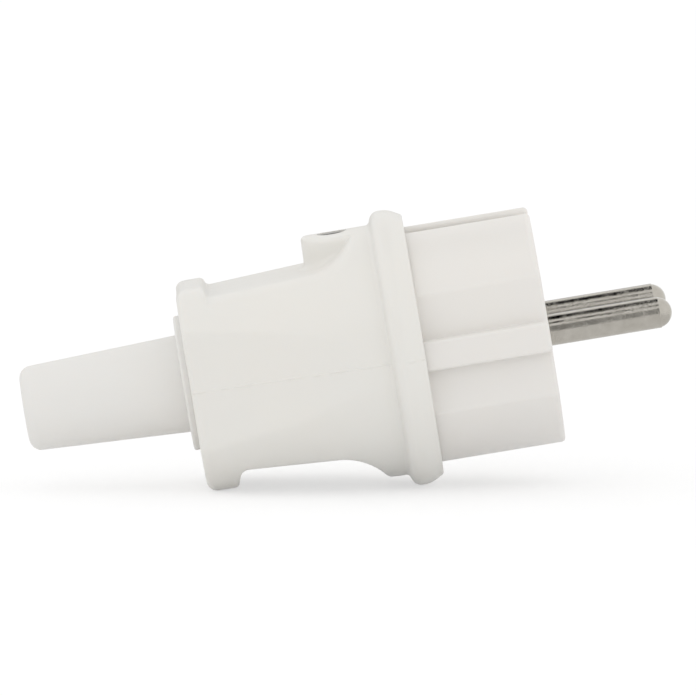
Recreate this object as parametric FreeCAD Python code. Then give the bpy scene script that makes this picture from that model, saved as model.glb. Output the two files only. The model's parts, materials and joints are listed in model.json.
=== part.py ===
import FreeCAD, Part
import math
import os
from FreeCAD import Vector

# Rewirable earthed plug (type F), 16 A, with a pull-off rear hood held by one screw.
# The plug is built along its own axis: x = 0 is the engagement face, +x points along the pins,
# y runs along the line of the pins and +z is the side of the housing screw.
# At the end the whole plug is laid down as it rests, on its flange and the lip of the hood.
# Lengths are in millimetres and angles in degrees.

# Pins and their terminals
PIN_R = 2.4
PIN_LENGTH = 19.0
PIN_PITCH = 19.0
PIN_DOME = 1.8
PIN_DOME_STEP = 0.12
SHANK_R = 2.8
COLLAR_R = 4.6
COLLAR_LENGTH = 2.0
TERMINAL_WIDTH = 6.0
TERMINAL_LENGTH = 14.0
TERMINAL_SCREW_SETBACK = 4.0
WIRE_HOLE_R = 1.5
WIRE_HOLE_DEPTH = 9.0

# Front body: skirt, side flats with a guide rib, earth notches
SKIRT_R = 18.5
SKIRT_LENGTH = 19.2
SKIRT_WALL = 1.8
SKIRT_EDGE = 1.0
SPIGOT = 2.0
FRONT_WALL = 2.5
FLAT_Y = 16.1
RIB_WIDTH = 4.6
NOTCH_WIDTH = 8.4
CHANNEL_WALL = 1.6
CHANNEL_RELIEF = 0.5
PIN_BOSS_WALL = 1.6
PIN_BOSS_LENGTH = 16.0
CENTRE_BOSS_WIDTH = 8.4
CORE_R = 2.2
PILLAR_R = 3.6

# Earth bracket: strip bent to a U, contact faces outwards
EARTH_SPAN = 31.8
STRIP = 0.8
STRIP_WIDTH = 7.0
STRIP_BEND = 1.2
STRIP_SETBACK = 1.5
WASHER_R = 3.4
WASHER = 0.6

# Terminal base: plate, arm for the housing nut, tongue with the cord cradle
BASE_PLATE = 3.0
WINDOW_WIDTH = 9.0
WINDOW_HEIGHT = 10.0
ARM_WIDTH = 9.0
ARM_THICK = 5.0
ARM_TOP_Z = 10.2
ARM_TAIL = 5.0
TONGUE_WIDTH = 13.0
TONGUE_THICK = 2.5
TONGUE_FLOOR_Z = -8.0
CLAMP_SETBACK = 4.2
CLAMP_LENGTH = 7.0
CLAMP_WIDTH = 22.0
CLAMP_SCREW_PITCH = 16.0
CLAMP_SEAT_Z = -0.6
CORD_R = 3.6
SADDLE_EAR = 2.6
SADDLE_WALL = 2.0

# Rear hood: grip, scoops, lips, screw boss, shoulder and flange
GRIP_REAR_X = -55.2
GRIP_REAR_R = 17.6
GRIP_FLAT_Y = 15.0
GRIP_FLAT_END_X = -27.2
GRIP_REAR_EDGE = 1.0
SHOULDER_X = -26.0
SHOULDER_R = 19.35
HOOD_WALL = 2.4
REAR_WALL = 3.0
LIP_TOP_LENGTH = 4.3
LIP_TOP_Z = 14.8
LIP_TOP_FOOT_R = 0.8
LIP_BOTTOM_LENGTH = 4.8
LIP_BOTTOM_Z = 16.45
LIP_BOTTOM_FOOT_R = 1.5
LIP_ROUND = 1.6
LIP_FRONT_ROUND = 0.9
LIP_LEAN = 14.0
SCOOP_FLOOR_Z = 13.27
SCOOP_SLOPE = 3.2
SCOOP_RAMP = 75.0
SCOOP_RAMP_R = 8.2
SCOOP_END_X = -27.5
SCREW_X = -30.2
SCREW_BOSS_R = 4.9
INNER_BOSS_R = 4.5
FLANGE_REAR_X = -24.5
FLANGE_R = 21.26
FLANGE_REAR_LEAN = 0.75
FLANGE_REAR_ROUND = 1.5
FLANGE_FRONT_RUN = 2.1
FLANGE_FRONT_R = 20.1
FLANGE_FRONT_ROUND = 4.4
FLANGE_FOOT_R = 0.7
FLANGE_LIP_ROUND = 0.3

# Cable boot
BOOT_END_X = -81.0
BOOT_END_R = 6.45
BOOT_ROOT_R = 7.5
BOOT_EDGE = 1.9
BOOT_BORE_R = 4.3
BOOT_COLLAR = 1.1
BOOT_COLLAR_R = 10.4
BOOT_COLLAR_EDGE = 0.4
BOOT_NECK_R = 8.0
BOOT_FLANGE = 2.0

# Fasteners: machine screws for metal, tapping screws for plastic, square nuts
MACHINE_R = 1.45
MACHINE_HEAD_R = 2.7
MACHINE_HEAD = 2.2
TAPPING_R = 1.25
TAPPING_HEAD_R = 2.5
TAPPING_HEAD = 1.8
SLOT_WIDTH = 0.8
SLOT_DEPTH = 0.9
NUT_WIDTH = 5.5
NUT_THICK = 2.4
HOUSING_HEAD_R = 2.1
HOUSING_HEAD_DEPTH = 0.3
SCREW_TIP = 0.6
TAPPING_DEPTH = 6.0
PILOT_SPARE = 1.0

# Clearances
PIN_FIT = 0.1
THREAD_FIT = 0.1
HOLE_FIT = 0.25
FIT = 0.2
SPIGOT_FIT = 0.15
NECK_FIT = 0.1
BASE_SCREW_ROOM = 0.75

# Stations along the axis and heights that several pieces share
PIN_Y = PIN_PITCH / 2
BASE_FRONT_X = -PIN_BOSS_LENGTH - COLLAR_LENGTH
BASE_BACK_X = BASE_FRONT_X - BASE_PLATE
TERMINAL_END_X = BASE_FRONT_X - TERMINAL_LENGTH
TERMINAL_SCREW_X = TERMINAL_END_X + TERMINAL_SCREW_SETBACK
WEB_FRONT_X = BASE_FRONT_X + STRIP
SKIRT_END_X = -SKIRT_LENGTH - SPIGOT
CHANNEL_Z = EARTH_SPAN / 2 - STRIP
SKIRT_IN_R = SKIRT_R - SKIRT_WALL
SKIRT_IN_Y = FLAT_Y - SKIRT_WALL
THROAT_R = SHOULDER_R - HOOD_WALL
PILLAR_OFF_AXIS = min(THROAT_R, SKIRT_IN_R) - TAPPING_HEAD_R - BASE_SCREW_ROOM
PILLAR_Z = math.sqrt(PILLAR_OFF_AXIS ** 2 - PIN_Y ** 2)
PILLARS = [(PIN_Y, PILLAR_Z), (-PIN_Y, -PILLAR_Z)]
ARM_END_X = SCREW_X - ARM_TAIL
NUT_TOP_Z = ARM_TOP_Z - ARM_THICK / 2 + NUT_THICK / 2
HOOD_INSIDE_X = GRIP_REAR_X + REAR_WALL
SCOOP_START_X = GRIP_REAR_X + LIP_BOTTOM_LENGTH
BOOT_INNER_X = HOOD_INSIDE_X + BOOT_FLANGE
CLAMP_X = BOOT_INNER_X + CLAMP_SETBACK + CLAMP_LENGTH / 2
HOUSING_HEAD_Z = SHOULDER_R - HOUSING_HEAD_DEPTH - MACHINE_HEAD
CLAMP_SCREW_YS = (CLAMP_SCREW_PITCH / 2, -CLAMP_SCREW_PITCH / 2)
FAR = 3 * FLANGE_R


# Drawing planes
def side(a, b):
    return Vector(a, 0, b)


def plan(a, b):
    return Vector(a, b, 0)


def outline(corners, plane):
    """Closed wire through corners (a, b, radius), each rounded by an arc tangent to its two sides."""
    bends = []
    for i, (a, b, radius) in enumerate(corners):
        corner = Vector(a, b, 0)
        before = Vector(*corners[i - 1][:2], 0) - corner
        after = Vector(*corners[(i + 1) % len(corners)][:2], 0) - corner
        half = before.getAngle(after) / 2
        before.normalize()
        after.normalize()
        reach = radius / math.tan(half)
        inward = before + after
        if radius:
            inward.normalize()
        middle = corner + inward * (radius / math.sin(half) - radius)
        bends.append((corner + before * reach, middle, corner + after * reach, radius))
    edges = []
    for i, (start, middle, end, radius) in enumerate(bends):
        if radius:
            arc = Part.Arc(plane(start.x, start.y), plane(middle.x, middle.y), plane(end.x, end.y))
            edges.append(arc.toShape())
        following = bends[(i + 1) % len(bends)][0]
        if following.distanceToPoint(end) > 1e-6:
            edges.append(Part.makeLine(plane(end.x, end.y), plane(following.x, following.y)))
    return Part.Wire(edges)


def turned(corners):
    """Solid of revolution about the plug's axis from corners (x, radius, rounding)."""
    return Part.Face(outline(corners, plan)).revolve(Vector(), Vector(1, 0, 0), 360)


def across(corners, half_width):
    """Prism of a side outline, from -half_width to +half_width along y."""
    face = Part.Face(outline(corners, side))
    face.translate(Vector(0, -half_width, 0))
    return face.extrude(Vector(0, 2 * half_width, 0))


def block(x, y, z):
    """Box between the two limits given for each axis."""
    size = [abs(limits[1] - limits[0]) for limits in (x, y, z)]
    return Part.makeBox(*size, Vector(min(x), min(y), min(z)))


def bar(x, radius, y=0.0, z=0.0):
    """Round bar along the plug's axis between two stations."""
    return Part.makeCylinder(radius, abs(x[1] - x[0]), Vector(min(x), y, z), Vector(1, 0, 0))


def post(z, radius, x, y=0.0):
    """Round post along z between two heights."""
    return Part.makeCylinder(radius, abs(z[1] - z[0]), Vector(x, y, min(z)), Vector(0, 0, 1))


def screw(seat, heading, radius, length, head_radius, head):
    """Slotted cheese-head screw: its head stands on the seat and its shank runs along the heading."""
    body = Part.makeCylinder(radius, length)
    body = body.fuse(Part.makeCylinder(head_radius, head, Vector(0, 0, -head)))
    slot = block((-head_radius, head_radius), (-SLOT_WIDTH / 2, SLOT_WIDTH / 2), (-head, SLOT_DEPTH - head))
    body = body.cut(slot)
    body.Placement = FreeCAD.Placement(seat, FreeCAD.Rotation(Vector(0, 0, 1), heading))
    return body


def square_nut(x, y, z, axis):
    """Square nut as a block with a plain bore along the given axis."""
    nut = block(x, y, z)
    middle = nut.CenterOfMass
    bore = Part.makeCylinder(MACHINE_R + THREAD_FIT, 2 * NUT_WIDTH, middle - axis * NUT_WIDTH, axis)
    return nut.cut(bore)


# Pins
def pin(y):
    """Round pin with a domed end, a shank in the boss, a collar behind it and a square terminal."""
    dome_r = PIN_R - PIN_DOME_STEP
    dome_x = PIN_LENGTH - PIN_DOME
    sphere = (dome_r ** 2 + PIN_DOME ** 2) / (2 * PIN_DOME)
    reach = math.asin(dome_r / sphere) / 2
    middle = (PIN_LENGTH - sphere + sphere * math.cos(reach), sphere * math.sin(reach))
    foot = -PIN_BOSS_LENGTH
    points = [(PIN_LENGTH, 0), (BASE_FRONT_X, 0), (BASE_FRONT_X, COLLAR_R), (foot, COLLAR_R), (foot, SHANK_R),
              (0, SHANK_R), (0, PIN_R), (dome_x - PIN_DOME_STEP, PIN_R), (dome_x, dome_r)]
    edges = [Part.makeLine(plan(*a), plan(*b)) for a, b in zip(points, points[1:])]
    edges.append(Part.Arc(plan(*points[-1]), plan(*middle), plan(*points[0])).toShape())
    shaft = Part.Face(Part.Wire(edges)).revolve(Vector(), Vector(1, 0, 0), 360)
    half = TERMINAL_WIDTH / 2
    head = block((TERMINAL_END_X, BASE_FRONT_X), (-half, half), (-half, half))
    body = shaft.fuse(head)
    body = body.cut(bar((TERMINAL_END_X, TERMINAL_END_X + WIRE_HOLE_DEPTH), WIRE_HOLE_R))
    body = body.cut(post((0, half), MACHINE_R + THREAD_FIT, TERMINAL_SCREW_X))
    body.translate(Vector(0, y, 0))
    return body


def terminal_screw(y):
    """Clamp screw that reaches from the top of a terminal into its wire hole."""
    seat = Vector(TERMINAL_SCREW_X, y, TERMINAL_WIDTH / 2)
    length = TERMINAL_WIDTH / 2 - SCREW_TIP
    return screw(seat, Vector(0, 0, -1), MACHINE_R, length, MACHINE_HEAD_R, MACHINE_HEAD)


# Front body
def skirt_bore(x, clearance):
    """Inside of the skirt between two stations: a circle with the two side flats."""
    half = SKIRT_IN_Y - clearance
    return bar(x, SKIRT_IN_R - clearance).common(block(x, (-half, half), (-FAR, FAR)))


def front_body():
    body = turned([(SKIRT_END_X, 0, 0), (SKIRT_END_X, SKIRT_R, 0), (0, SKIRT_R, SKIRT_EDGE), (0, 0, 0)])
    length = (-SKIRT_LENGTH, SKIRT_EDGE)
    half_notch = NOTCH_WIDTH / 2
    cuts = []
    for hand in (1, -1):
        for end in (1, -1):
            cuts.append(block(length, (hand * FLAT_Y, hand * FAR), (end * RIB_WIDTH / 2, end * FAR)))
        cuts.append(block(length, (-half_notch, half_notch), (hand * CHANNEL_Z, hand * FAR)))
    inside = skirt_bore((SKIRT_END_X, -FRONT_WALL), 0)
    kept = []
    wall_y = half_notch + CHANNEL_WALL
    wall_x = (WEB_FRONT_X + CHANNEL_RELIEF, -FRONT_WALL)
    for hand in (1, -1):
        kept.append(block(wall_x, (-wall_y, wall_y), (hand * (CHANNEL_Z - CHANNEL_WALL), hand * FAR)))
        kept.append(bar((-PIN_BOSS_LENGTH, 0), SHANK_R + PIN_FIT + PIN_BOSS_WALL, hand * PIN_Y))
    for y, z in PILLARS:
        kept.append(bar((BASE_FRONT_X, 0), PILLAR_R, y, z))
    half = CENTRE_BOSS_WIDTH / 2
    kept.append(block((WEB_FRONT_X, 0), (-half, half), (-half, half)))
    cuts.append(inside.cut(kept))
    for hand in (1, -1):
        cuts.append(bar((-PIN_BOSS_LENGTH, SKIRT_EDGE), SHANK_R + PIN_FIT, hand * PIN_Y))
        cuts.append(bar((BASE_FRONT_X, -PIN_BOSS_LENGTH), COLLAR_R + PIN_FIT, hand * PIN_Y))
    pilot = (BASE_FRONT_X, BASE_FRONT_X + TAPPING_DEPTH + PILOT_SPARE)
    for y, z in PILLARS:
        cuts.append(bar(pilot, TAPPING_R + THREAD_FIT, y, z))
    pocket = NUT_WIDTH / 2 + FIT
    cuts.append(block((WEB_FRONT_X, WEB_FRONT_X + NUT_THICK), (-pocket, pocket), (-pocket, pocket)))
    cuts.append(bar((WEB_FRONT_X, -2 * FRONT_WALL), CORE_R))
    return body.cut(cuts)


# Earth path
def earth_bracket():
    """Strip bent to a U: the web sits on the centre boss and the arms lie in the notches of the skirt."""
    out_z = EARTH_SPAN / 2
    tip = -STRIP_SETBACK
    bend_in = STRIP_BEND - STRIP
    strip = across([
        (tip, out_z, 0), (BASE_FRONT_X, out_z, STRIP_BEND),
        (BASE_FRONT_X, -out_z, STRIP_BEND), (tip, -out_z, 0),
        (tip, -CHANNEL_Z, 0), (WEB_FRONT_X, -CHANNEL_Z, bend_in),
        (WEB_FRONT_X, CHANNEL_Z, bend_in), (tip, CHANNEL_Z, 0)], STRIP_WIDTH / 2)
    return strip.cut(bar((BASE_FRONT_X, WEB_FRONT_X), MACHINE_R + HOLE_FIT))


def earth_nut():
    half = NUT_WIDTH / 2
    return square_nut((WEB_FRONT_X, WEB_FRONT_X + NUT_THICK), (-half, half), (-half, half), Vector(1, 0, 0))


def earth_washer():
    ring = (BASE_FRONT_X - WASHER, BASE_FRONT_X)
    return bar(ring, WASHER_R).cut(bar(ring, MACHINE_R + HOLE_FIT))


def earth_screw():
    seat = Vector(BASE_FRONT_X - WASHER, 0, 0)
    length = WASHER + STRIP + NUT_THICK + SCREW_TIP
    return screw(seat, Vector(1, 0, 0), MACHINE_R, length, MACHINE_HEAD_R, MACHINE_HEAD)


# Terminal base and cord clamp
def terminal_base():
    plate = skirt_bore((BASE_BACK_X, BASE_FRONT_X), FIT)
    half_arm = ARM_WIDTH / 2
    half_tongue = TONGUE_WIDTH / 2
    half_clamp = CLAMP_WIDTH / 2
    clamp_x = (CLAMP_X - CLAMP_LENGTH / 2, CLAMP_X + CLAMP_LENGTH / 2)
    arm_z = (ARM_TOP_Z - ARM_THICK, ARM_TOP_Z)
    arm = block((ARM_END_X, BASE_FRONT_X), (-half_arm, half_arm), arm_z)
    tongue = block((clamp_x[0], BASE_FRONT_X), (-half_tongue, half_tongue),
                   (TONGUE_FLOOR_Z, TONGUE_FLOOR_Z + TONGUE_THICK))
    cradle = block(clamp_x, (-half_clamp, half_clamp), (TONGUE_FLOOR_Z, CLAMP_SEAT_Z))
    body = plate.fuse([arm, tongue, cradle])
    cuts = [bar(clamp_x, CORD_R)]
    hole = TERMINAL_WIDTH / 2 + FIT
    through = (BASE_BACK_X, BASE_FRONT_X)
    for hand in (1, -1):
        cuts.append(block(through, (hand * PIN_Y - hole, hand * PIN_Y + hole), (-hole, hole)))
    window_y = WINDOW_WIDTH / 2
    window_z = WINDOW_HEIGHT / 2
    cuts.append(block(through, (-window_y, window_y), (-window_z, window_z)))
    for y, z in PILLARS:
        cuts.append(bar(through, TAPPING_R + HOLE_FIT, y, z))
    pocket = NUT_WIDTH / 2 + FIT
    cuts.append(block((SCREW_X - pocket, SCREW_X + pocket), (-pocket, pocket), (arm_z[0], NUT_TOP_Z)))
    cuts.append(post(arm_z, MACHINE_R + HOLE_FIT, SCREW_X))
    pilot = (CLAMP_SEAT_Z - TAPPING_DEPTH - PILOT_SPARE, CLAMP_SEAT_Z)
    for y in CLAMP_SCREW_YS:
        cuts.append(post(pilot, TAPPING_R + THREAD_FIT, CLAMP_X, y))
    return body.cut(cuts)


def cord_saddle():
    """Arched strap over the cord: two ears on the cradle and a half-round arch between them."""
    half = CLAMP_WIDTH / 2
    strap_x = (CLAMP_X - CLAMP_LENGTH / 2, CLAMP_X + CLAMP_LENGTH / 2)
    ears = block(strap_x, (-half, half), (CLAMP_SEAT_Z, CLAMP_SEAT_Z + SADDLE_EAR))
    arch = bar(strap_x, CORD_R + SADDLE_WALL).common(block(strap_x, (-half, half), (CLAMP_SEAT_Z, FAR)))
    holes = [bar(strap_x, CORD_R)]
    for y in CLAMP_SCREW_YS:
        holes.append(post((CLAMP_SEAT_Z, CLAMP_SEAT_Z + SADDLE_EAR), TAPPING_R + HOLE_FIT, CLAMP_X, y))
    return ears.fuse(arch).cut(holes)


def clamp_screw(y):
    seat = Vector(CLAMP_X, y, CLAMP_SEAT_Z + SADDLE_EAR)
    length = SADDLE_EAR + TAPPING_DEPTH
    return screw(seat, Vector(0, 0, -1), TAPPING_R, length, TAPPING_HEAD_R, TAPPING_HEAD)


def base_screw(y, z):
    seat = Vector(BASE_BACK_X, y, z)
    length = BASE_PLATE + TAPPING_DEPTH
    return screw(seat, Vector(1, 0, 0), TAPPING_R, length, TAPPING_HEAD_R, TAPPING_HEAD)


def housing_nut():
    half = NUT_WIDTH / 2
    return square_nut((SCREW_X - half, SCREW_X + half), (-half, half), (NUT_TOP_Z - NUT_THICK, NUT_TOP_Z),
                      Vector(0, 0, 1))


def housing_screw():
    length = HOUSING_HEAD_Z - NUT_TOP_Z + NUT_THICK + SCREW_TIP
    seat = Vector(SCREW_X, 0, HOUSING_HEAD_Z)
    return screw(seat, Vector(0, 0, -1), MACHINE_R, length, HOUSING_HEAD_R, MACHINE_HEAD)


# Rear hood
def grip_radius(x):
    """Radius of the grip's cone at a station."""
    return GRIP_REAR_R + (SHOULDER_R - GRIP_REAR_R) * (x - GRIP_REAR_X) / (SHOULDER_X - GRIP_REAR_X)


def grip_flat(x):
    """Distance of the leaning side flats from the axis at a station; they run out into the cone."""
    rise = grip_radius(GRIP_FLAT_END_X) - GRIP_FLAT_Y
    return GRIP_FLAT_Y + rise * (x - GRIP_REAR_X) / (GRIP_FLAT_END_X - GRIP_REAR_X)


def grip(rear_x, inset, edge):
    """Cone with two side flats from a rear station to the shoulder, every wall moved in by inset."""
    rear_y = grip_flat(rear_x) - inset
    end_y = grip_flat(SHOULDER_X) - inset
    cone = turned([(rear_x, 0, 0), (rear_x, grip_radius(rear_x) - inset, edge),
                   (SHOULDER_X, SHOULDER_R - inset, 0), (SHOULDER_X, 0, 0)])
    face = Part.Face(outline([(rear_x, -rear_y, edge), (SHOULDER_X, -end_y, 0),
                              (SHOULDER_X, end_y, 0), (rear_x, rear_y, edge)], plan))
    face.translate(Vector(0, 0, -FAR))
    return cone.common(face.extrude(Vector(0, 0, 2 * FAR)))


def scoop_corner(inset):
    """Where the scoop's floor line meets its ramp line, both moved into the wall by inset."""
    slope = math.tan(math.radians(SCOOP_SLOPE))
    ramp = math.tan(math.radians(SCOOP_RAMP))
    floor_z = SCOOP_FLOOR_Z - inset / math.cos(math.radians(SCOOP_SLOPE))
    end_x = SCOOP_END_X + inset / math.sin(math.radians(SCOOP_RAMP))
    x = (SHOULDER_R - ramp * end_x - floor_z + slope * SCOOP_START_X) / (slope - ramp)
    return x, floor_z + slope * (x - SCOOP_START_X), floor_z


def ramp_top(x, z):
    return x + (FAR - z) / math.tan(math.radians(SCOOP_RAMP))


def hood_side_profile():
    """Side outline of the hood: rear lips, sloping scoop floors and ramps up to the shoulder."""
    front_x = FAR / 2
    x, z, floor_z = scoop_corner(0)
    lean = math.tan(math.radians(LIP_LEAN))
    slope = math.tan(math.radians(SCOOP_SLOPE))

    def half(lip_length, lip_z, foot_r, hand):
        lip_x = GRIP_REAR_X + lip_length
        foot_x = lip_x + (lip_z - floor_z) * lean
        foot_z = floor_z + (foot_x - SCOOP_START_X) * slope
        return [(GRIP_REAR_X, hand * lip_z, LIP_ROUND), (lip_x, hand * lip_z, LIP_FRONT_ROUND),
                (foot_x, hand * foot_z, foot_r), (x, hand * z, SCOOP_RAMP_R),
                (ramp_top(x, z), hand * FAR, 0), (front_x, hand * FAR, 0)]

    top = half(LIP_TOP_LENGTH, LIP_TOP_Z, LIP_TOP_FOOT_R, 1)
    bottom = half(LIP_BOTTOM_LENGTH, LIP_BOTTOM_Z, LIP_BOTTOM_FOOT_R, -1)
    return across(top + bottom[::-1], FAR)


def hood_inside():
    """Hollow of the hood: the grip's inside under the scoops, then the mouth that takes the front body."""
    x, z, floor_z = scoop_corner(HOOD_WALL)
    slope = math.tan(math.radians(SCOOP_SLOPE))
    rear_z = floor_z - slope * LIP_BOTTOM_LENGTH
    front_x = FAR / 2
    top = [(GRIP_REAR_X, rear_z, 0), (x, z, SCOOP_RAMP_R + HOOD_WALL),
           (ramp_top(x, z), FAR, 0), (front_x, FAR, 0)]
    bottom = [(a, -b, radius) for a, b, radius in top]
    hollow = grip(HOOD_INSIDE_X, HOOD_WALL, 0).common(across(top + bottom[::-1], FAR))
    throat = bar((SHOULDER_X, SKIRT_END_X), THROAT_R)
    mouth = bar((SKIRT_END_X, 0), SKIRT_R + SPIGOT_FIT)
    return [hollow, throat, mouth]


def screw_boss():
    """Boss that stands in the upper scoop round the housing screw and runs forward into the shoulder."""
    rear = SCREW_X - SCREW_BOSS_R
    shape = outline([(rear, -SCREW_BOSS_R, SCREW_BOSS_R), (SHOULDER_X, -SCREW_BOSS_R, 0),
                     (SHOULDER_X, SCREW_BOSS_R, 0), (rear, SCREW_BOSS_R, SCREW_BOSS_R)], plan)
    face = Part.Face(shape)
    face.translate(Vector(0, 0, SCOOP_FLOOR_Z - HOOD_WALL))
    return face.extrude(Vector(0, 0, FAR)).common(bar((2 * SCREW_X, 0), SHOULDER_R))


def rear_hood():
    flange = turned([
        (SHOULDER_X, 0, 0), (SHOULDER_X, SHOULDER_R, 0), (FLANGE_REAR_X, SHOULDER_R, FLANGE_FOOT_R),
        (FLANGE_REAR_X + FLANGE_REAR_LEAN, FLANGE_R, FLANGE_REAR_ROUND),
        (-SKIRT_LENGTH - FLANGE_FRONT_RUN, FLANGE_R, FLANGE_FRONT_ROUND),
        (-SKIRT_LENGTH, FLANGE_FRONT_R, FLANGE_LIP_ROUND), (-SKIRT_LENGTH, 0, 0)])
    body = grip(GRIP_REAR_X, 0, GRIP_REAR_EDGE).fuse(flange).common(hood_side_profile())
    body = body.fuse(screw_boss())
    body = body.cut(hood_inside())
    body = body.fuse(post((ARM_TOP_Z, SCOOP_FLOOR_Z), INNER_BOSS_R, SCREW_X))
    holes = [post((ARM_TOP_Z, FAR), MACHINE_R + HOLE_FIT, SCREW_X),
             post((HOUSING_HEAD_Z, FAR), HOUSING_HEAD_R + FIT, SCREW_X),
             bar((GRIP_REAR_X, HOOD_INSIDE_X), BOOT_NECK_R + NECK_FIT)]
    return body.cut(holes)


# Cable boot
def cable_boot():
    """Soft cone on a grommet: collar outside the hood's rear wall and flange inside it."""
    back = GRIP_REAR_X - BOOT_COLLAR
    return turned([
        (BOOT_END_X, BOOT_BORE_R, 0), (BOOT_END_X, BOOT_END_R, BOOT_EDGE), (back, BOOT_ROOT_R, 0),
        (back, BOOT_COLLAR_R, BOOT_COLLAR_EDGE), (GRIP_REAR_X, BOOT_COLLAR_R, 0),
        (GRIP_REAR_X, BOOT_NECK_R, 0),
        (HOOD_INSIDE_X, BOOT_NECK_R, 0), (HOOD_INSIDE_X, BOOT_COLLAR_R, 0),
        (BOOT_INNER_X, BOOT_COLLAR_R, BOOT_COLLAR_EDGE), (BOOT_INNER_X, BOOT_BORE_R, 0)])


# Rest: the plug lies on its flange and on the rear edge of the lower lip, pins pointing up a little
def rest_tilt():
    """Tilt of the line that touches the flange's rear rounding and the lip's rear rounding from below."""
    lean = math.atan2(FLANGE_R - SHOULDER_R, FLANGE_REAR_LEAN)
    flange_x = FLANGE_REAR_X + FLANGE_REAR_LEAN + FLANGE_REAR_ROUND * math.tan(lean / 2)
    dx = flange_x - (GRIP_REAR_X + LIP_ROUND)
    dz = FLANGE_R - FLANGE_REAR_ROUND - (LIP_BOTTOM_Z - LIP_ROUND)
    line = math.atan2(dz, dx)
    return math.degrees(line + math.asin((FLANGE_REAR_ROUND - LIP_ROUND) / math.hypot(dx, dz)))


def laid_down(nodes):
    """Tilts every piece as the plug rests and sets the origin under the middle of the whole."""
    for shape in nodes.values():
        shape.rotate(Vector(), Vector(0, 1, 0), -rest_tilt())
    box = Part.makeCompound(list(nodes.values())).optimalBoundingBox()
    shift = Vector(-box.Center.x, -box.Center.y, -box.ZMin)
    for shape in nodes.values():
        shape.translate(shift)


NODES = {
    "rear_hood": rear_hood(),
    "front_body": front_body(),
    "terminal_base": terminal_base(),
    "cable_boot": cable_boot(),
    "pin_left": pin(PIN_Y),
    "pin_right": pin(-PIN_Y),
    "terminal_screws": Part.makeCompound([terminal_screw(PIN_Y), terminal_screw(-PIN_Y)]),
    "earth_bracket": earth_bracket(),
    "earth_screw": earth_screw(),
    "earth_washer": earth_washer(),
    "earth_nut": earth_nut(),
    "cord_saddle": cord_saddle(),
    "cord_clamp_screws": Part.makeCompound([clamp_screw(y) for y in CLAMP_SCREW_YS]),
    "housing_screw": housing_screw(),
    "housing_nut": housing_nut(),
    "base_screws": Part.makeCompound([base_screw(y, z) for y, z in PILLARS]),
}
laid_down(NODES)

os.makedirs("parts", exist_ok=True)
for name, shape in NODES.items():
    shape.exportStep("parts/" + name + ".step")
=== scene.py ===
import json
import math

import bmesh
import bpy
import numpy as np
from mathutils import Matrix


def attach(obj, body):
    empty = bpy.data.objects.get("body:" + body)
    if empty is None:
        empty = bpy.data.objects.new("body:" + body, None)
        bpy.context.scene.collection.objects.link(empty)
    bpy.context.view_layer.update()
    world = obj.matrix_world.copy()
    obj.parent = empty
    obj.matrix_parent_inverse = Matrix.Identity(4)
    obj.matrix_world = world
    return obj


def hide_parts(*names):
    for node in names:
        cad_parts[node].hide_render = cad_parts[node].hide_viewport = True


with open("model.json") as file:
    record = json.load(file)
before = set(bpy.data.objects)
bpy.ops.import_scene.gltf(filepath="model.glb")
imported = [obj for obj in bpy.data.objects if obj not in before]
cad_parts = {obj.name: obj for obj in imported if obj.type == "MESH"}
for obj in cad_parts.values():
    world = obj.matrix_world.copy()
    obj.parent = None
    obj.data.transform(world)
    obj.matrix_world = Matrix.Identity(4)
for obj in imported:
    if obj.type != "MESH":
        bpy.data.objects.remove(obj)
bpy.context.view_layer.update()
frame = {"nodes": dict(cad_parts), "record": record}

# The plug's own frame, in millimetres: x = 0 is the engagement face and +x runs along the pins,
# y along the line of the pins, +z on the side of the housing screw. The record's engagement face says
# how the plug lies, so the same values as in the part's source put every surface in its place.
MM = 0.001
FACE = next(mount for mount in frame["record"]["mounts"] if mount["name"] == "engagement_face")
ORIGIN = np.array(FACE["pos_m"])
AXIS = np.array(FACE["axis"])
ACROSS = np.array((0.0, 1.0, 0.0))
UP = np.cross(AXIS, ACROSS)
REST_TILT = math.atan2(AXIS[2], AXIS[0])


def laid(points):
    """Points (..., 3) of the plug's own frame, in millimetres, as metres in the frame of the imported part."""
    return ORIGIN + MM * (points[..., :1] * AXIS + points[..., 1:2] * ACROSS + points[..., 2:] * UP)


# Shaping tools
def smooth_min(a, b, k):
    """Lower of a and b, with the crease between them rounded over a span of k."""
    h = np.clip(0.5 + 0.5 * (b - a) / k, 0, 1)
    return b + (a - b) * h - k * h * (1 - h)


def smooth_max(a, b, k):
    """Higher of a and b, with the crease between them rounded over a span of k."""
    return -smooth_min(-a, -b, k)


def ease(a, b, t):
    """0 below a, 1 above b, and the cubic 3s^2 - 2s^3 in between."""
    s = np.clip((t - a) / (b - a), 0, 1)
    return s * s * (3 - 2 * s)


def spread(*runs):
    """Stations of several runs (start, end, count) put together, each value once."""
    return np.unique(np.round(np.concatenate([np.linspace(*run) for run in runs]), 6))


def rounded(corners, steps):
    """Line through corners (a, b, radius): one with a radius becomes the arc tangent to its two sides."""
    points = []
    for i, (a, b, radius) in enumerate(corners):
        corner = np.array((a, b), float)
        if not radius:
            points.append(corner[None])
            continue
        before = np.array(corners[i - 1][:2]) - corner
        after = np.array(corners[i + 1][:2]) - corner
        before /= np.linalg.norm(before)
        after /= np.linalg.norm(after)
        half = math.acos(before @ after) / 2
        middle = (before + after) / np.linalg.norm(before + after)
        centre = corner + middle * radius / math.sin(half)
        start = corner + before * radius / math.tan(half) - centre
        end = corner + after * radius / math.tan(half) - centre
        sweep = math.pi - 2 * half
        t = np.linspace(0, 1, steps)[:, None]
        points.append(centre + (np.sin((1 - t) * sweep) * start + np.sin(t * sweep) * end) / math.sin(sweep))
    return np.concatenate(points)


def ring(x, r, turn):
    """One ring of points at station x, radius r and the given angles from +z towards +y."""
    x = np.broadcast_to(x, turn.shape)
    return np.stack((x, r * np.sin(turn), r * np.cos(turn)), -1)


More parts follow.
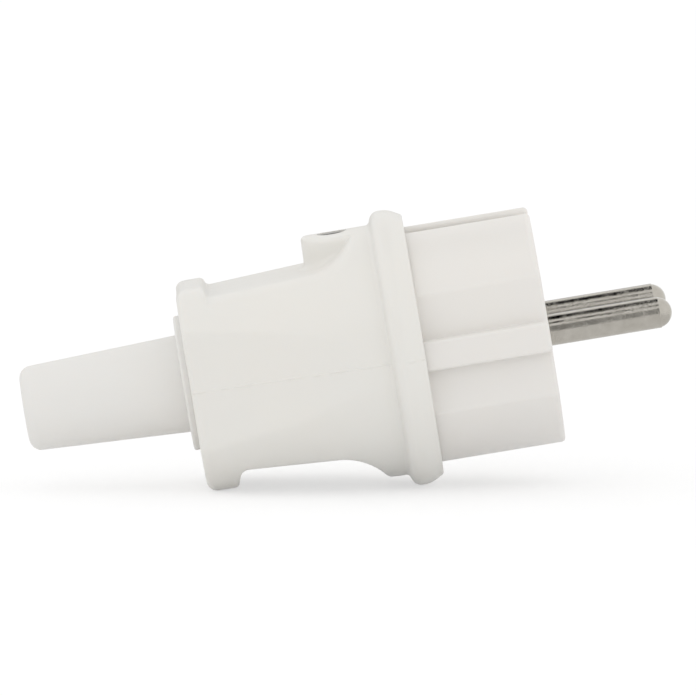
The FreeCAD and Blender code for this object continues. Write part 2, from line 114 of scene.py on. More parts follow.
MERGE_WITHIN = 1e-8
SHARP_FROM = math.radians(40)


def grid_piece(name, points, replaced, poles=False):
    """Closed piece from a grid of rings, joined column to column and row to row, normals outwards.

    The rows close round as well, or else the first and last row are poles."""
    rows, columns = points.shape[:2]
    index = np.arange(rows * columns).reshape(rows, columns)
    beside = np.roll(index, -1, axis=1)
    faces = np.stack((index, beside, np.roll(beside, -1, axis=0), np.roll(index, -1, axis=0)), -1)
    if poles:
        faces = faces[:-1]
    mesh = bpy.data.meshes.new(name)
    mesh.from_pydata(laid(points).reshape(-1, 3), [], faces.reshape(-1, 4))
    shell = bmesh.new()
    shell.from_mesh(mesh)
    bmesh.ops.remove_doubles(shell, verts=shell.verts, dist=MERGE_WITHIN)
    bmesh.ops.recalc_face_normals(shell, faces=shell.faces)
    if shell.calc_volume(signed=True) < 0:
        bmesh.ops.reverse_faces(shell, faces=shell.faces)
    shell.to_mesh(mesh)
    shell.free()
    mesh.shade_smooth()
    mesh.set_sharp_from_angle(angle=SHARP_FROM)
    piece = bpy.data.objects.new(name, mesh)
    bpy.context.scene.collection.objects.link(piece)
    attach(piece, "root")
    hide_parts(replaced)
    return piece


# Rear hood
GRIP_REAR_X = -55.2
GRIP_REAR_R = 17.6
GRIP_FLAT_Y = 15.0
GRIP_FLAT_END_X = -27.2
GRIP_CORNER = 0.35
CORNER_FADE = 10.0
CORNER_LEAST = 0.02
REAR_EDGE = 1.0
REAR_HOLE_R = 8.1
SHOULDER_X = -26.0
SHOULDER_R = 19.35
HOOD_WALL = 2.4
REAR_WALL = 3.0
LIP_TOP = {"x": -50.9, "z": 14.8, "foot": 0.8, "crown": 0.2}
LIP_BOTTOM = {"x": -50.4, "z": 16.45, "foot": 1.5, "crown": 0.0}
LIP_LEAN = math.tan(math.radians(14))
LIP_ROUND = 1.6
LIP_FRONT_ROUND = 0.9
SCOOP_START_X = -50.4
SCOOP_FLOOR_Z = 13.27
SCOOP_SLOPE = math.tan(math.radians(3.2))
SCOOP_RAMP = math.tan(math.radians(75))
SCOOP_RAMP_R = 8.2
SCOOP_END_X = -27.5
SCOOP_EDGE = 0.5
SCOOP_TOP_EDGE = 1.8
SCREW_X = -30.2
BOSS_R = 4.9
BOSS_EDGE = 0.9
BOSS_FOOT = 1.6
FOOT_END_X = SCOOP_END_X - 0.2
FOOT_FADE = 4.0
FOOT_LEAST = 0.01
SCREW_HOLE_R = 2.3
SCREW_HOLE_RIM = 0.15
SCREW_HOLE_DIP = 0.06
SCREW_SEAT_Z = 16.85
FLANGE_REAR_X = -24.5
FLANGE_REAR_LEAN = 0.75
FLANGE_CREST_X = -21.3
FLANGE_FRONT_X = -19.2
FLANGE_R = 21.26
FLANGE_FRONT_R = 20.1
FLANGE_FOOT_R = 0.7
FLANGE_REAR_ROUND = 1.5
FLANGE_FRONT_ROUND = 4.4
FLANGE_LIP_ROUND = 0.3
MOUTH_R = 18.65
MOUTH_EDGE = 0.15
MOUTH_END_X = -21.2
THROAT_R = 16.95
FAR = 60.0

# Mould flash: height and half width of the ridge, radians per millimetre of its three waves, and the sums
# of the waves between which it grows from its least height to the whole
FLASH_HEIGHT = 0.15
FLASH_HALF = 0.12
FLASH_SLOW = 0.9
FLASH_MIDDLE = 1.73
FLASH_SHIFT = 1.1
FLASH_QUICK = 3.1
FLASH_QUICK_PART = 0.8
FLASH_BREAKS = (-1.4, 1.2)
FLASH_LEAST = 0.15

# Lines of the hood's grid, closer where the surface bends: rings round the screw, stations along x and
# columns in degrees from +z, above and below the flash, which has columns of its own
SCREW_RINGS = np.array((0, 0.6, 1.2, 1.8, 2.1, 2.26, SCREW_HOLE_R, 2.36, 2.46, 2.8, 3.3, 3.7))
BOSS_RINGS = np.linspace(3.9, 6.8, 26)
SCREW_LINE = 0.02
PULL_BEHIND = (5.8, 8.9)
PULL_AHEAD = (2.6, 4.4)
LIP_BEND = (-51.9, -48.6)
SCOOP_RUN_END_X = -37.7
SHOULDER_RUN_X = -27.6
FLANGE_BEND = (-25.6, -22.6)
UPPER_COLUMNS = spread((21.6, 56, 36), (56, 86.6, 32))
LOWER_COLUMNS = spread((4, 33, 28), (33, 64, 36), (64, 90, 11))
FLASH_COLUMNS = np.linspace(0, 0.9, 13) / 18
LIP_COSINES = (0.8, 0.95)
SEARCH_R = (8.0, 24.0)
HALVINGS = 34


def scoop_line(lip):
    """Side line of a scoop, from the lip down its leaning front to the sloping floor and up the ramp.

    Lip and floor stand higher by the crown, as much as their rounded rims take off where the line is seen."""
    lip_z = lip["z"] + lip["crown"]
    floor_z = SCOOP_FLOOR_Z + lip["crown"]
    foot_x = lip["x"] + (lip_z - floor_z) * LIP_LEAN
    foot_z = floor_z + (foot_x - SCOOP_START_X) * SCOOP_SLOPE
    rise = SHOULDER_R - SCOOP_RAMP * SCOOP_END_X - floor_z + SCOOP_SLOPE * SCOOP_START_X
    x = rise / (SCOOP_SLOPE - SCOOP_RAMP)
    z = floor_z + SCOOP_SLOPE * (x - SCOOP_START_X)
    return rounded([
        (GRIP_REAR_X, lip_z, 0), (lip["x"], lip_z, LIP_FRONT_ROUND), (foot_x, foot_z, lip["foot"]),
        (x, z, SCOOP_RAMP_R), (x + (FAR - z) / SCOOP_RAMP, FAR, 0)], steps=24)


def cone_radius(x):
    """Radius of the grip's cone, straight from the rear wall to the shoulder."""
    return GRIP_REAR_R + (SHOULDER_R - GRIP_REAR_R) * (x - GRIP_REAR_X) / (SHOULDER_X - GRIP_REAR_X)


FLAT_LEAN = (cone_radius(GRIP_FLAT_END_X) - GRIP_FLAT_Y) / (GRIP_FLAT_END_X - GRIP_REAR_X)
SCOOP_TOP = scoop_line(LIP_TOP)
SCOOP_LOW = scoop_line(LIP_BOTTOM)
FLANGE = rounded([
    (SHOULDER_X, SHOULDER_R, 0), (FLANGE_REAR_X, SHOULDER_R, FLANGE_FOOT_R),
    (FLANGE_REAR_X + FLANGE_REAR_LEAN, FLANGE_R, FLANGE_REAR_ROUND),
    (FLANGE_CREST_X, FLANGE_R, FLANGE_FRONT_ROUND), (FLANGE_FRONT_X, FLANGE_FRONT_R, FLANGE_LIP_ROUND),
    (FLANGE_FRONT_X, MOUTH_R, 0)], steps=16)[:-1]


def level_of(line, x):
    """Height of a side line at x."""
    return np.interp(x, line[:, 0], line[:, 1])


def above_line(line, x, height):
    """Signed distance of a height above a side line: the gap along z times the cosine of the line's slope."""
    slope = np.diff(line[:, 1]) / np.maximum(np.diff(line[:, 0]), 1e-9)
    middle = (line[1:, 0] + line[:-1, 0]) / 2
    return (height - level_of(line, x)) / np.hypot(1, np.interp(x, middle, slope))


def hood_field(x, turn, r, with_boss):
    """Signed distance to the hood's outside at radius r and angle turn from +z towards +y.

    The grip is a cone cut by two leaning side flats that run out just behind the shoulder, then comes the
    flange's own profile. The scoops cut it along their side lines, the upper one by the plain gap along z,
    and the boss, a cylinder piece of the shoulder's radius over a U-shaped plan, is joined on with a
    rounded foot."""
    y = r * np.sin(turn)
    z = r * np.cos(turn)
    flat = GRIP_FLAT_Y + FLAT_LEAN * (x - GRIP_REAR_X)
    corner = GRIP_CORNER * np.clip((GRIP_FLAT_END_X - x) / CORNER_FADE, CORNER_LEAST, 1)
    grip = smooth_max(r - cone_radius(x), (np.abs(y) - flat) / math.hypot(1, FLAT_LEAN), corner)
    body = np.where(x < SHOULDER_X, grip, r - level_of(FLANGE, x))
    body = smooth_max(body, z - level_of(SCOOP_TOP, x), SCOOP_TOP_EDGE)
    body = smooth_max(body, above_line(SCOOP_LOW, x, -z), SCOOP_EDGE)
    if not with_boss:
        return body
    plan = np.where(x < SCREW_X, np.hypot(x - SCREW_X, y), np.abs(y)) - BOSS_R
    boss = smooth_max(r - SHOULDER_R, plan, BOSS_EDGE) + np.where(z < 0, FAR, 0)
    foot = BOSS_FOOT * np.clip((FOOT_END_X - x) / FOOT_FADE, FOOT_LEAST, 1)
    return smooth_min(body, boss, foot)


def hood_radius(x, turn, with_boss=True):
    """Radius at which the hood's field is zero along each ray from the axis, found by halving."""
    low = np.full(x.shape, SEARCH_R[0])
    high = np.full(x.shape, SEARCH_R[1])
    for _ in range(HALVINGS):
        middle = (low + high) / 2
        outside = hood_field(x, turn, middle, with_boss) > 0
        high = np.where(outside, middle, high)
        low = np.where(outside, low, middle)
    return (low + high) / 2


def flash_line(x, y, z):
    """Height of the mould's parting flash: a ridge exp(-(z/h)^2) on both sides, broken by three waves."""
    waves = (np.sin(FLASH_SLOW * x) + np.sin(FLASH_MIDDLE * x + FLASH_SHIFT)
             + FLASH_QUICK_PART * np.sin(FLASH_QUICK * x + np.sign(y)))
    strength = FLASH_LEAST + (1 - FLASH_LEAST) * ease(*FLASH_BREAKS, waves)
    return FLASH_HEIGHT * strength * np.exp(-(z / FLASH_HALF) ** 2)


def hood_lines():
    """Stations along x and angles of the columns for the hood's grid."""
    near = np.concatenate((SCREW_RINGS, BOSS_RINGS))
    stations = spread((GRIP_REAR_X + LIP_ROUND, LIP_BEND[0], 4), (*LIP_BEND, 34),
                      (LIP_BEND[1], SCOOP_RUN_END_X, 18), (SHOULDER_RUN_X, FLANGE_BEND[0], 12),
                      (*FLANGE_BEND, 34), (FLANGE_BEND[1], FLANGE_FRONT_X, 28))
    stations = np.unique(np.concatenate((stations, SCREW_X - near, SCREW_X + SCREW_RINGS)))
    upper = np.concatenate((np.arcsin(near / SHOULDER_R), np.radians(UPPER_COLUMNS)))
    lower = np.concatenate((FLASH_COLUMNS, np.radians(LOWER_COLUMNS)))
    half = np.concatenate((upper, np.pi / 2 - FLASH_COLUMNS[1:], np.pi / 2 + lower))
    half = np.unique(np.round(half, 9))
    return stations, np.concatenate((half, 2 * np.pi - half[1:-1][::-1]))


def hood_points():
    """Grid of the whole hood, a torus of rings: rear hole, rear face, outside, front face, mouth and inside.

    Rings are stations along x and columns are angles from +z. Round the screw the square lines of the grid
    are pulled into circles: a point (u, v) at square distance m and round distance d moves to (u, v) m / d,
    and the inner circles sink to the seat of the screw's head."""
    stations, turns = hood_lines()
    x, turn = np.meshgrid(stations, turns, indexing="ij")
    side = np.where(turn > np.pi, turn - 2 * np.pi, turn)
    u = x - SCREW_X
    v = np.where(np.abs(side) < np.pi / 2, SHOULDER_R * np.sin(side), FAR * np.sign(side))
    square = np.maximum(np.abs(u), np.abs(v))
    pull = np.where(u < 0, 1 - ease(*PULL_BEHIND, square), 1 - ease(*PULL_AHEAD, square))
    scale = 1 + pull * (square / np.maximum(np.hypot(u, v), 1e-6) - 1)
    x = SCREW_X + u * scale
    turn = np.where(np.abs(v) < SHOULDER_R, np.arcsin(np.clip(v * scale / SHOULDER_R, -1, 1)), side)
    r = hood_radius(x, turn)
    r = np.minimum(r + flash_line(x, r * np.sin(turn), r * np.cos(turn)), FLANGE_R)
    hole = SCREW_HOLE_R - SCREW_LINE
    r = r - SCREW_HOLE_DIP * (1 - ease(hole, SCREW_HOLE_R + SCREW_HOLE_RIM, square))
    r = np.where(square < hole, SCREW_SEAT_Z / np.maximum(np.cos(turn), 0.2), r)
    edge = REAR_EDGE + (LIP_ROUND - REAR_EDGE) * ease(*LIP_COSINES, np.abs(np.cos(turn[0])))
    rows = [ring(GRIP_REAR_X, REAR_HOLE_R + (r[0] - edge - REAR_HOLE_R) * s, turn[0])
            for s in np.linspace(0, 1, 6)[:-1]]
    rows += [ring(GRIP_REAR_X + edge * (1 - math.sin(a)), r[0] - edge * (1 - math.cos(a)), turn[0])
             for a in np.linspace(math.pi / 2, 0, 11)[:-1]]
    outside = np.stack((x, r * np.sin(turn), r * np.cos(turn)), -1)
    inner = [(FLANGE_FRONT_X, MOUTH_R + MOUTH_EDGE), (FLANGE_FRONT_X - MOUTH_EDGE, MOUTH_R),
             (MOUTH_END_X, MOUTH_R), (MOUTH_END_X, THROAT_R), (SHOULDER_X, THROAT_R)]
    back = [ring(a, b, turns) for a, b in inner]
    for a in np.linspace(SHOULDER_X - 0.5, GRIP_REAR_X + REAR_WALL, 14):
        back.append(ring(a, hood_radius(np.full(turns.shape, a), turns, False) - HOOD_WALL, turns))
    back.append(ring(GRIP_REAR_X + REAR_WALL, REAR_HOLE_R, turns))
    return np.concatenate((np.stack(rows), outside, np.stack(back)))


# Front body
SKIRT_R = 18.5
SKIRT_FLAT_Y = 16.1
SKIRT_SOFT = 1.5
SKIRT_EDGE = 1.0
FLAT_EDGE = 0.4
RIB_HALF = 2.3
RIB_ROOT = 0.3
RIB_EDGE = 0.5
NOTCH_HALF = 4.2
NOTCH_FLOOR_Z = 15.1
NOTCH_ROOT = 0.2
NOTCH_RIM = 0.9
FACE_R = 14.5
INSIDE_R = 14.25
INSIDE_Z = 13.4
FRONT_WALL = 2.5
PIN_Y = 9.5
PIN_SEAT_R = 2.85
PIN_SEAT_DEPTH = 1.5
PIN_SEAT_DIP = 0.04

# Turns that the skirt's rounded corners take up, in radians, and where the front edge grows from the
# flats' to the skirt's, by distance from the axis in millimetres and by degrees from the notch
RIM_TURN = 0.07
SOFT_TURN = 0.05
RIB_TURN = 0.035
EDGE_RADII = (16.8, 17.8)
EDGE_PAST_NOTCH = (15, 26)
EDGE_TO_FLAT = (54, 60)
EDGE_LEAST = 0.45

# Lines of the front body's grid: rings round a pin, stations along x, the notch's corners and the other
# columns on the front face, and the steps from the edge to the face's circle and on to its middle
CORNER_STEPS = 8
PIN_RINGS = np.array((0, 0.7, 1.4, 2.1, 2.6, 2.8, PIN_SEAT_R, 2.9, 3.2, 3.7, 4.3))
PIN_LINE = 0.01
PIN_PULL = (3.3, 4.3)
SKIRT_STATIONS = (FLANGE_FRONT_X, -15, -10, -5, -2.5)
NOTCH_ON_FACE = np.radians((0, 17.2, 18, 21))
FACE_COLUMNS = np.radians(spread((0, 16, 9), (22, 90, 44)))
FACE_STEPS = (0.4, 0.75)
FACE_MIDDLE_RINGS = (4, 2.6, 1.2, 0)


def on_skirt(turns):
    """Plain corners on the skirt's round at the given angles from +z."""
    return [(SKIRT_R * math.sin(a), SKIRT_R * math.cos(a), 0) for a in turns]


def skirt_quarter():
    """Quarter of the skirt's section from the notch to the rib: y, z and the two angles of each column.

    The outline runs over the notch's floor, its wall and rim, the round, the flat and the rib, with each
    corner rounded. One angle places the column on the round spigot, the other on the front face's circle."""
    rim = math.asin(NOTCH_HALF / SKIRT_R)
    flat = math.asin(SKIRT_FLAT_Y / SKIRT_R)
    rib = math.acos(RIB_HALF / SKIRT_R)
    line = rounded([
        (0, NOTCH_FLOOR_Z, 0), (NOTCH_HALF, NOTCH_FLOOR_Z, NOTCH_ROOT),
        (NOTCH_HALF, SKIRT_R * math.cos(rim), NOTCH_RIM),
        *on_skirt(np.linspace(rim + RIM_TURN, flat - SOFT_TURN, 30)),
        (SKIRT_FLAT_Y, SKIRT_R * math.cos(flat), SKIRT_SOFT), (SKIRT_FLAT_Y, RIB_HALF, RIB_ROOT),
        (SKIRT_R * math.sin(rib), RIB_HALF, RIB_EDGE),
        *on_skirt(np.linspace(rib + RIB_TURN, math.pi / 2, 5))], CORNER_STEPS)
    polar = np.arctan2(line[:, 0], line[:, 1])
    run = np.concatenate(((0,), np.cumsum(np.hypot(*np.diff(line, axis=0).T))))
    floor_end = CORNER_STEPS
    rim_end = 2 * CORNER_STEPS
    in_notch = run < run[rim_end]
    spigot = np.where(in_notch, polar[rim_end] * run / run[rim_end], polar)
    notch = np.interp(run, (0, run[floor_end], run[floor_end + 1], run[rim_end]), NOTCH_ON_FACE)
    beyond = np.interp(polar, (polar[rim_end], np.pi / 2), (NOTCH_ON_FACE[-1], np.pi / 2))
    face = np.where(in_notch, notch, beyond)
    columns = np.concatenate((face, np.pi / 2 - PIN_RINGS / PIN_Y, FACE_COLUMNS))
    columns = np.unique(np.round(np.clip(columns, 0, np.pi / 2), 7))
    return [np.interp(columns, face, values) for values in (line[:, 0], line[:, 1], spigot)] + [columns]


def whole_turn(quarter, hand_y, hand_z):
    """Values of a quarter carried round the whole loop, changed on the far quarters by the two hands."""
    half = np.concatenate((quarter, hand_z(quarter[:-1][::-1])))
    return np.concatenate((half, hand_y(half[1:-1][::-1])))


def front_points():
    """Grid of the front body from pole to pole: hollow inside, spigot, skirt, front edge and front face.

    On the face the square lines of the grid round each pin are pulled into circles, as on the hood's screw,
    and the inner circles sink to make the pin's seat."""
    y, z, spigot, face = skirt_quarter()
    y = whole_turn(y, np.negative, np.positive)
    z = whole_turn(z, np.positive, np.negative)
    spigot = whole_turn(spigot, lambda a: 2 * np.pi - a, lambda a: np.pi - a)
    face = whole_turn(face, lambda a: 2 * np.pi - a, lambda a: np.pi - a)
    inside = np.minimum(INSIDE_R, INSIDE_Z / np.maximum(np.abs(np.cos(face)), 0.01))
    rows = [ring(-FRONT_WALL, 0 * face, face), ring(-FRONT_WALL, inside, face),
            ring(MOUTH_END_X, inside, face), ring(MOUTH_END_X, SKIRT_R, spigot),
            ring(FLANGE_FRONT_X, SKIRT_R, spigot)]
    for x in SKIRT_STATIONS:
        rows.append(np.stack((np.full(y.shape, x), y, z), -1))
    past = np.degrees(np.arctan2(np.abs(y), np.abs(z)))
    on_round = ease(*EDGE_RADII, np.hypot(y, z)) * (1 - ease(*EDGE_TO_FLAT, past))
    on_round = on_round * (EDGE_LEAST + (1 - EDGE_LEAST) * ease(*EDGE_PAST_NOTCH, past))
    edge = FLAT_EDGE + (SKIRT_EDGE - FLAT_EDGE) * on_round
    along_y = np.roll(y, -1) - np.roll(y, 1)
    along_z = np.roll(z, -1) - np.roll(z, 1)
    length = np.hypot(along_y, along_z)
    in_y = along_z / length
    in_z = -along_y / length
    for a in np.linspace(0, np.pi / 2, CORNER_STEPS):
        inset = edge * (1 - math.cos(a))
        rows.append(np.stack((edge * (math.sin(a) - 1), y + in_y * inset, z + in_z * inset), -1))
    rim = rows[-1]
    circle = ring(0.0, FACE_R, face)
    rows += [rim + (circle - rim) * t for t in FACE_STEPS]
    for rho in np.concatenate(((FACE_R,), PIN_Y + PIN_RINGS[:0:-1], PIN_Y - PIN_RINGS, FACE_MIDDLE_RINGS)):
        u = np.full(face.shape, rho - PIN_Y)
        v = PIN_Y * np.arcsin(np.cos(face))
        square = np.maximum(np.abs(u), np.abs(v))
        scale = square / np.maximum(np.hypot(u, v), 1e-6)
        near = 1 - ease(*PIN_PULL, square)
        sunk = square < PIN_SEAT_R - PIN_LINE
        dipped = np.abs(square - PIN_SEAT_R) < PIN_LINE
        x = -PIN_SEAT_DEPTH * sunk - PIN_SEAT_DIP * dipped
        pulled = np.stack((x, np.sign(np.sin(face)) * (PIN_Y + u * scale), v * scale), -1)
        plain = ring(0.0, rho, face)
        rows.append(plain + (pulled - plain) * near[:, None])
    return np.stack(rows)


# Finishes. Sizes of patches, grain and depths are in metres.
TINT_PATCH = 0.022
GLOSS_PATCH = 0.006
MOULD_GRAIN = 0.00035
SINK_WAVES = 0.004
GRAIN_DEPTH = 0.00002
PLASTIC_IOR = 1.49
GLOW_WEIGHT = 0.12
GLOW_RADIUS = (0.9, 0.8, 0.7)
GLOW_SCALE = 0.0015
EVEN = (1, 1, 1)
FINE_RINGS = (1, 0.05, 0.05)
FINE_RING_PITCH = 0.00016
COARSE_RINGS = (1, 0.25, 0.25)
COARSE_RING_PITCH = 0.0007
PLATING_PATCH = 0.0016
WEAR_PATCH = 0.0021
WEAR_LEAST = 0.25


def add(tree, kind, **inputs):
    """New shader node of a kind, with its sockets set to values or linked to other nodes' sockets."""
    made = tree.nodes.new("ShaderNode" + kind)
    for key, value in inputs.items():
        socket = made.inputs[int(key[1:]) if key[0] == "_" else key.replace("_", " ")]
        if isinstance(value, bpy.types.NodeSocket):
            tree.links.new(value, socket)
        else:
            socket.default_value = value
    return made


def new_finish(name):
    """Empty node material with a Principled shader: returns the material, its tree and the shader."""
    finish = bpy.data.materials.new(name)
    finish.use_nodes = True
    tree = finish.node_tree
    return finish, tree, tree.nodes["Principled BSDF"]


def plug_coordinates(tree, scale):
    """Object coordinates turned so that the first runs along the plug's axis, then scaled per axis."""
    place = add(tree, "TexCoord").outputs["Object"]
    turned = add(tree, "Mapping", Vector=place, Rotation=(0, REST_TILT, 0), Scale=scale)
    return turned.outputs["Vector"]


def noise(tree, vector, size, detail):
    """Noise whose features are about size metres across."""
    made = add(tree, "TexNoise", Vector=vector, Scale=1 / size, Detail=detail, Roughness=0.5)
    return made.outputs["Fac"]


def span(tree, value, low, high):
    """Noise value moved from its usual 0.3 to 0.7 into low to high."""
    made = add(tree, "MapRange", Value=value, _1=0.3, _2=0.7, _3=low, _4=high)
    return made.outputs["Result"]


def two_tints(tree, shader, place, patch, detail, colour, shade):
    """Base colour that drifts between two tints in patches."""
    drift = span(tree, noise(tree, place, patch, detail), 0, 1)
    tint = add(tree, "MixRGB", Fac=drift, Color1=(*colour, 1), Color2=(*shade, 1))
    tree.links.new(tint.outputs["Color"], shader.inputs["Base Color"])


def plastic(name, colour, shade, gloss, grain, edge):
    """Moulded thermoplastic: slow drift between two tints, patchy gloss, fine mould grain and soft edges."""
    finish, tree, shader = new_finish(name)
    place = plug_coordinates(tree, EVEN)
    two_tints(tree, shader, place, TINT_PATCH, 3, colour, shade)
    patch = span(tree, noise(tree, place, GLOSS_PATCH, 4), gloss - 0.05, gloss + 0.06)
    tree.links.new(patch, shader.inputs["Roughness"])
    skin = noise(tree, place, MOULD_GRAIN, 3)
    waves = noise(tree, place, SINK_WAVES, 2)
    relief = add(tree, "Math", _0=skin, _1=waves)
    soft = add(tree, "Bevel", Radius=edge)
    soft.samples = 6
    bump = add(tree, "Bump", Strength=grain, Distance=GRAIN_DEPTH, Height=relief.outputs[0],
               Normal=soft.outputs["Normal"])
    tree.links.new(bump.outputs["Normal"], shader.inputs["Normal"])
    shader.inputs["IOR"].default_value = PLASTIC_IOR
    shader.inputs["Subsurface Weight"].default_value = GLOW_WEIGHT
    shader.inputs["Subsurface Radius"].default_value = GLOW_RADIUS
    shader.inputs["Subsurface Scale"].default_value = GLOW_SCALE
    return finish


def turned_metal(name, colour, shade, gloss, ring_depth, grain_size, grain_depth):
    """Plated, turned metal: rings round the axis at two pitches, worn grain and patches of duller plating."""
    finish, tree, shader = new_finish(name)
    place = plug_coordinates(tree, EVEN)
    rings = noise(tree, plug_coordinates(tree, FINE_RINGS), FINE_RING_PITCH, 2)
    coarse = noise(tree, plug_coordinates(tree, COARSE_RINGS), COARSE_RING_PITCH, 3)
    grain = noise(tree, place, grain_size, 2)
    two_tints(tree, shader, place, PLATING_PATCH, 4, colour, shade)
    tree.links.new(span(tree, coarse, gloss - 0.04, gloss + 0.07), shader.inputs["Roughness"])
    shader.inputs["Metallic"].default_value = 1.0
    turning = add(tree, "Math", _0=rings, _1=coarse)
    marks = add(tree, "Bump", Strength=1.0, Distance=ring_depth, Height=turning.outputs[0])
    worn = span(tree, noise(tree, place, WEAR_PATCH, 2), WEAR_LEAST, 1.0)
    pits = add(tree, "Bump", Strength=worn, Distance=grain_depth, Height=grain,
               Normal=marks.outputs["Normal"])
    tree.links.new(pits.outputs["Normal"], shader.inputs["Normal"])
    return finish


FINISHES = {
    "hood_plastic": plastic("hood_plastic_satin", (0.80, 0.78, 0.735), (0.785, 0.775, 0.74),
                            gloss=0.40, grain=0.25, edge=0.0001),
    "body_plastic": plastic("body_plastic_satin", (0.81, 0.785, 0.745), (0.795, 0.775, 0.745),
                            gloss=0.36, grain=0.2, edge=0.0001),
    "base_plastic": plastic("base_plastic_grey", (0.62, 0.61, 0.58), (0.58, 0.575, 0.55),
                            gloss=0.5, grain=0.4, edge=0.0002),
    "boot_rubber": plastic("boot_rubber_soft", (0.80, 0.78, 0.745), (0.785, 0.775, 0.75),
                           gloss=0.52, grain=0.5, edge=0.0003),
    "pin_nickel": turned_metal("pin_nickel_turned", (0.54, 0.515, 0.465), (0.48, 0.455, 0.405),
                               gloss=0.14, ring_depth=4e-6, grain_size=0.00022, grain_depth=44e-6),
    "earth_nickel": turned_metal("earth_nickel_rolled", (0.66, 0.64, 0.60), (0.58, 0.56, 0.52),
                                 gloss=0.3, ring_depth=1e-6, grain_size=0.00012, grain_depth=2e-6),
    "screw_steel": turned_metal("screw_steel_zinc", (0.5, 0.49, 0.47), (0.4, 0.39, 0.37),
                                gloss=0.32, ring_depth=1e-6, grain_size=0.00012, grain_depth=2e-6),
}
for part in frame["record"]["subparts"]:
    surface = frame["nodes"][part["node"]].data
    surface.materials.clear()
    surface.materials.append(FINISHES[part["material_slot"]])

hood = grid_piece("hood_shell", hood_points(), "rear_hood")
hood.data.materials.append(FINISHES["hood_plastic"])
front = grid_piece("front_shell", front_points(), "front_body", poles=True)
front.data.materials.append(FINISHES["body_plastic"])

# Studio, in metres: white floor, even white sky, a weak softbox in front, and cards that only reflections
# show. A card is bent round the plug's axis: from and to in degrees, 0 facing the camera and 90 overhead,
# where it starts along the axis, and its grey.
WHITE = (1, 1, 1, 1)
BLACK = (0, 0, 0, 1)
FLOOR_HALF = 12.0
FLOOR_Z = -2e-5
FLOOR_GREY = (0.92, 0.92, 0.92, 1)
FLOOR_GREY_SEEN = (0.45, 0.45, 0.45, 1)
FLOOR_LIFT_SEEN = 0.57
SOFTBOX_WIDTH = 1.4
SOFTBOX_HEIGHT = 1.0
SOFTBOX_WATTS = 0.5
SOFTBOX_PLACE = (-0.1, -1.09, 0.51)
SOFTBOX_LEAN = math.radians(65)
CARD_R = 0.3
CARD_END = 0.045
BEHIND_BOOT = -0.45
BEHIND_PINS = -0.03
CARDS = {
    "dim_backdrop": (162, 184, BEHIND_BOOT, 0.55),
    "overhead_gap": (84, 122, BEHIND_PINS, 0.0),
    "seam": (51, 64, BEHIND_PINS, 0.0),
    "room_behind_camera": (-4, 34, BEHIND_BOOT, 0.3),
}
BENCH_X = (-0.3, 0.4)
BENCH_Y = (-0.5, 0.05)
BENCH_Z = 2e-4
BENCH_GREY = 0.82


def sheet_piece(name, points):
    """Open sheet from a grid of points in metres, for the floor and the cards."""
    rows, columns = points.shape[:2]
    index = np.arange(rows * columns).reshape(rows, columns)
    faces = np.stack((index[:-1, :-1], index[:-1, 1:], index[1:, 1:], index[1:, :-1]), -1)
    mesh = bpy.data.meshes.new(name)
    mesh.from_pydata(points.reshape(-1, 3), [], faces.reshape(-1, 4))
    piece = bpy.data.objects.new(name, mesh)
    bpy.context.scene.collection.objects.link(piece)
    return piece


def level_grid(x, y, z, count):
    """Level grid of count by count points between two limits along x and y, at height z."""
    along, across = np.meshgrid(np.linspace(*x, count), np.linspace(*y, count), indexing="xy")
    return np.stack((along, across, np.full(along.shape, z)), -1)


def bent_round(low, high, start):
    """Grid bent round the plug's axis at one radius, between two heights in degrees."""
    heights = np.radians(np.linspace(low, high, 25))
    along, height = np.meshgrid(np.linspace(start, CARD_END, 3), heights, indexing="ij")
    return (ORIGIN + along[..., None] * AXIS
            + CARD_R * (np.sin(height)[..., None] * UP - np.cos(height)[..., None] * ACROSS))


def reflection_card(name, points, grey):
    """Sheet that shows in reflections only, at an even grey."""
    card = sheet_piece(name, points)
    card.visible_camera = False
    card.visible_diffuse = False
    card.visible_shadow = False
    card.visible_transmission = False
    finish, tree, shader = new_finish(name)
    shader.inputs["Base Color"].default_value = BLACK
    shader.inputs["Specular IOR Level"].default_value = 0.0
    shader.inputs["Emission Color"].default_value = (grey, grey, grey, 1)
    shader.inputs["Emission Strength"].default_value = 1.0
    card.data.materials.append(finish)


def seen_rays(tree):
    """1 for camera, glossy and transmission rays, else 0."""
    path = add(tree, "LightPath")
    either = add(tree, "Math", _0=path.outputs["Is Camera Ray"], _1=path.outputs["Is Glossy Ray"])
    either.operation = "MAXIMUM"
    any_seen = add(tree, "Math", _0=either.outputs[0], _1=path.outputs["Is Transmission Ray"])
    any_seen.operation = "MAXIMUM"
    return any_seen.outputs[0]


def floor_white():
    """Matt floor, pale to the light it gives back, and greyer but lifted to white where it is seen."""
    finish, tree, shader = new_finish("floor_white")
    seen = seen_rays(tree)
    paint = add(tree, "MixRGB", Fac=seen, Color1=FLOOR_GREY, Color2=FLOOR_GREY_SEEN)
    tree.links.new(paint.outputs["Color"], shader.inputs["Base Color"])
    shader.inputs["Roughness"].default_value = 1.0
    shader.inputs["Specular IOR Level"].default_value = 0.0
    shader.inputs["Emission Color"].default_value = WHITE
    lift = add(tree, "Math", _0=seen, _1=FLOOR_LIFT_SEEN)
    lift.operation = "MULTIPLY"
    tree.links.new(lift.outputs[0], shader.inputs["Emission Strength"])
    return finish


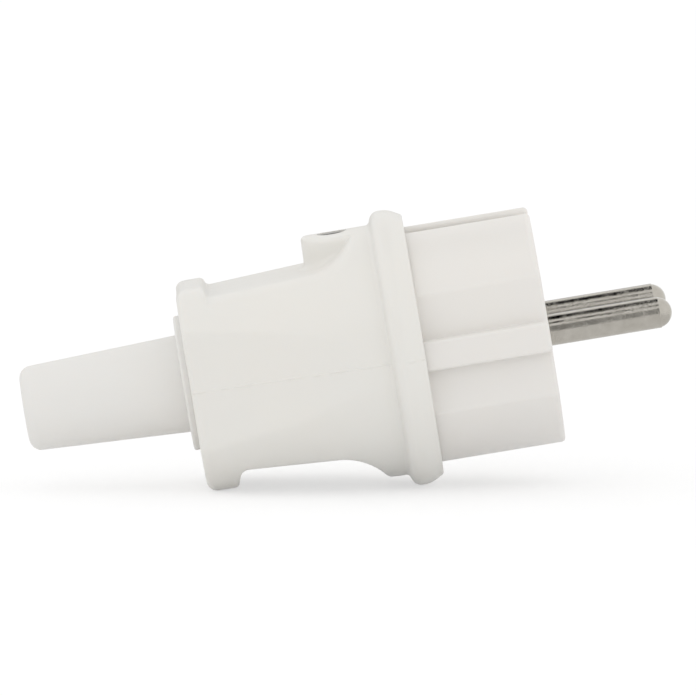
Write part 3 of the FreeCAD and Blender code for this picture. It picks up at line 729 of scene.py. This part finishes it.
floor_span = (-FLOOR_HALF, FLOOR_HALF)
floor = sheet_piece("floor", level_grid(floor_span, floor_span, FLOOR_Z, 5))
floor.data.materials.append(floor_white())

world = bpy.data.worlds.new("studio_sky")
bpy.context.scene.world = world
world.use_nodes = True
sky = world.node_tree.nodes["Background"]
sky.inputs["Strength"].default_value = 1.0
sky.inputs["Color"].default_value = WHITE

softbox = bpy.data.lights.new("front_softbox", "AREA")
softbox.shape = "RECTANGLE"
softbox.size = SOFTBOX_WIDTH
softbox.size_y = SOFTBOX_HEIGHT
softbox.energy = SOFTBOX_WATTS
lamp = bpy.data.objects.new("front_softbox", softbox)
bpy.context.scene.collection.objects.link(lamp)
lamp.location = SOFTBOX_PLACE
lamp.rotation_euler = (SOFTBOX_LEAN, 0, 0)
lamp.visible_glossy = False

for name, (low, high, start, grey) in CARDS.items():
    reflection_card(name, bent_round(low, high, start), grey)
reflection_card("bench", level_grid(BENCH_X, BENCH_Y, BENCH_Z, 3), BENCH_GREY)

# Camera at the photograph's angle: square to the plug's axis, a little above it, axis rising to the right
ELEVATION = math.radians(6.45)
AXIS_RISE = math.radians(9.37)
DISTANCE = 1.535
VIEW_WIDTH = 0.10662
AIM_X = -0.03057
AIM_UP = 0.00126
back = math.sin(ELEVATION) * UP - math.cos(ELEVATION) * ACROSS
seen_up = math.cos(ELEVATION) * UP + math.sin(ELEVATION) * ACROSS
right = math.cos(AXIS_RISE) * AXIS - math.sin(AXIS_RISE) * seen_up
top = math.sin(AXIS_RISE) * AXIS + math.cos(AXIS_RISE) * seen_up
eye = ORIGIN + AIM_X * AXIS + AIM_UP * seen_up + DISTANCE * back
lens = bpy.data.cameras.new("photo_camera")
lens.sensor_width = 36.0
lens.lens = lens.sensor_width * DISTANCE / VIEW_WIDTH
lens.clip_start = 0.01
lens.clip_end = 100.0
camera = bpy.data.objects.new("photo_camera", lens)
bpy.context.scene.collection.objects.link(camera)
placed = np.column_stack((right, top, back, eye))
camera.matrix_world = Matrix([tuple(row) for row in placed] + [(0, 0, 0, 1)])
bpy.context.scene.camera = camera
bpy.context.scene.view_settings.view_transform = "Standard"
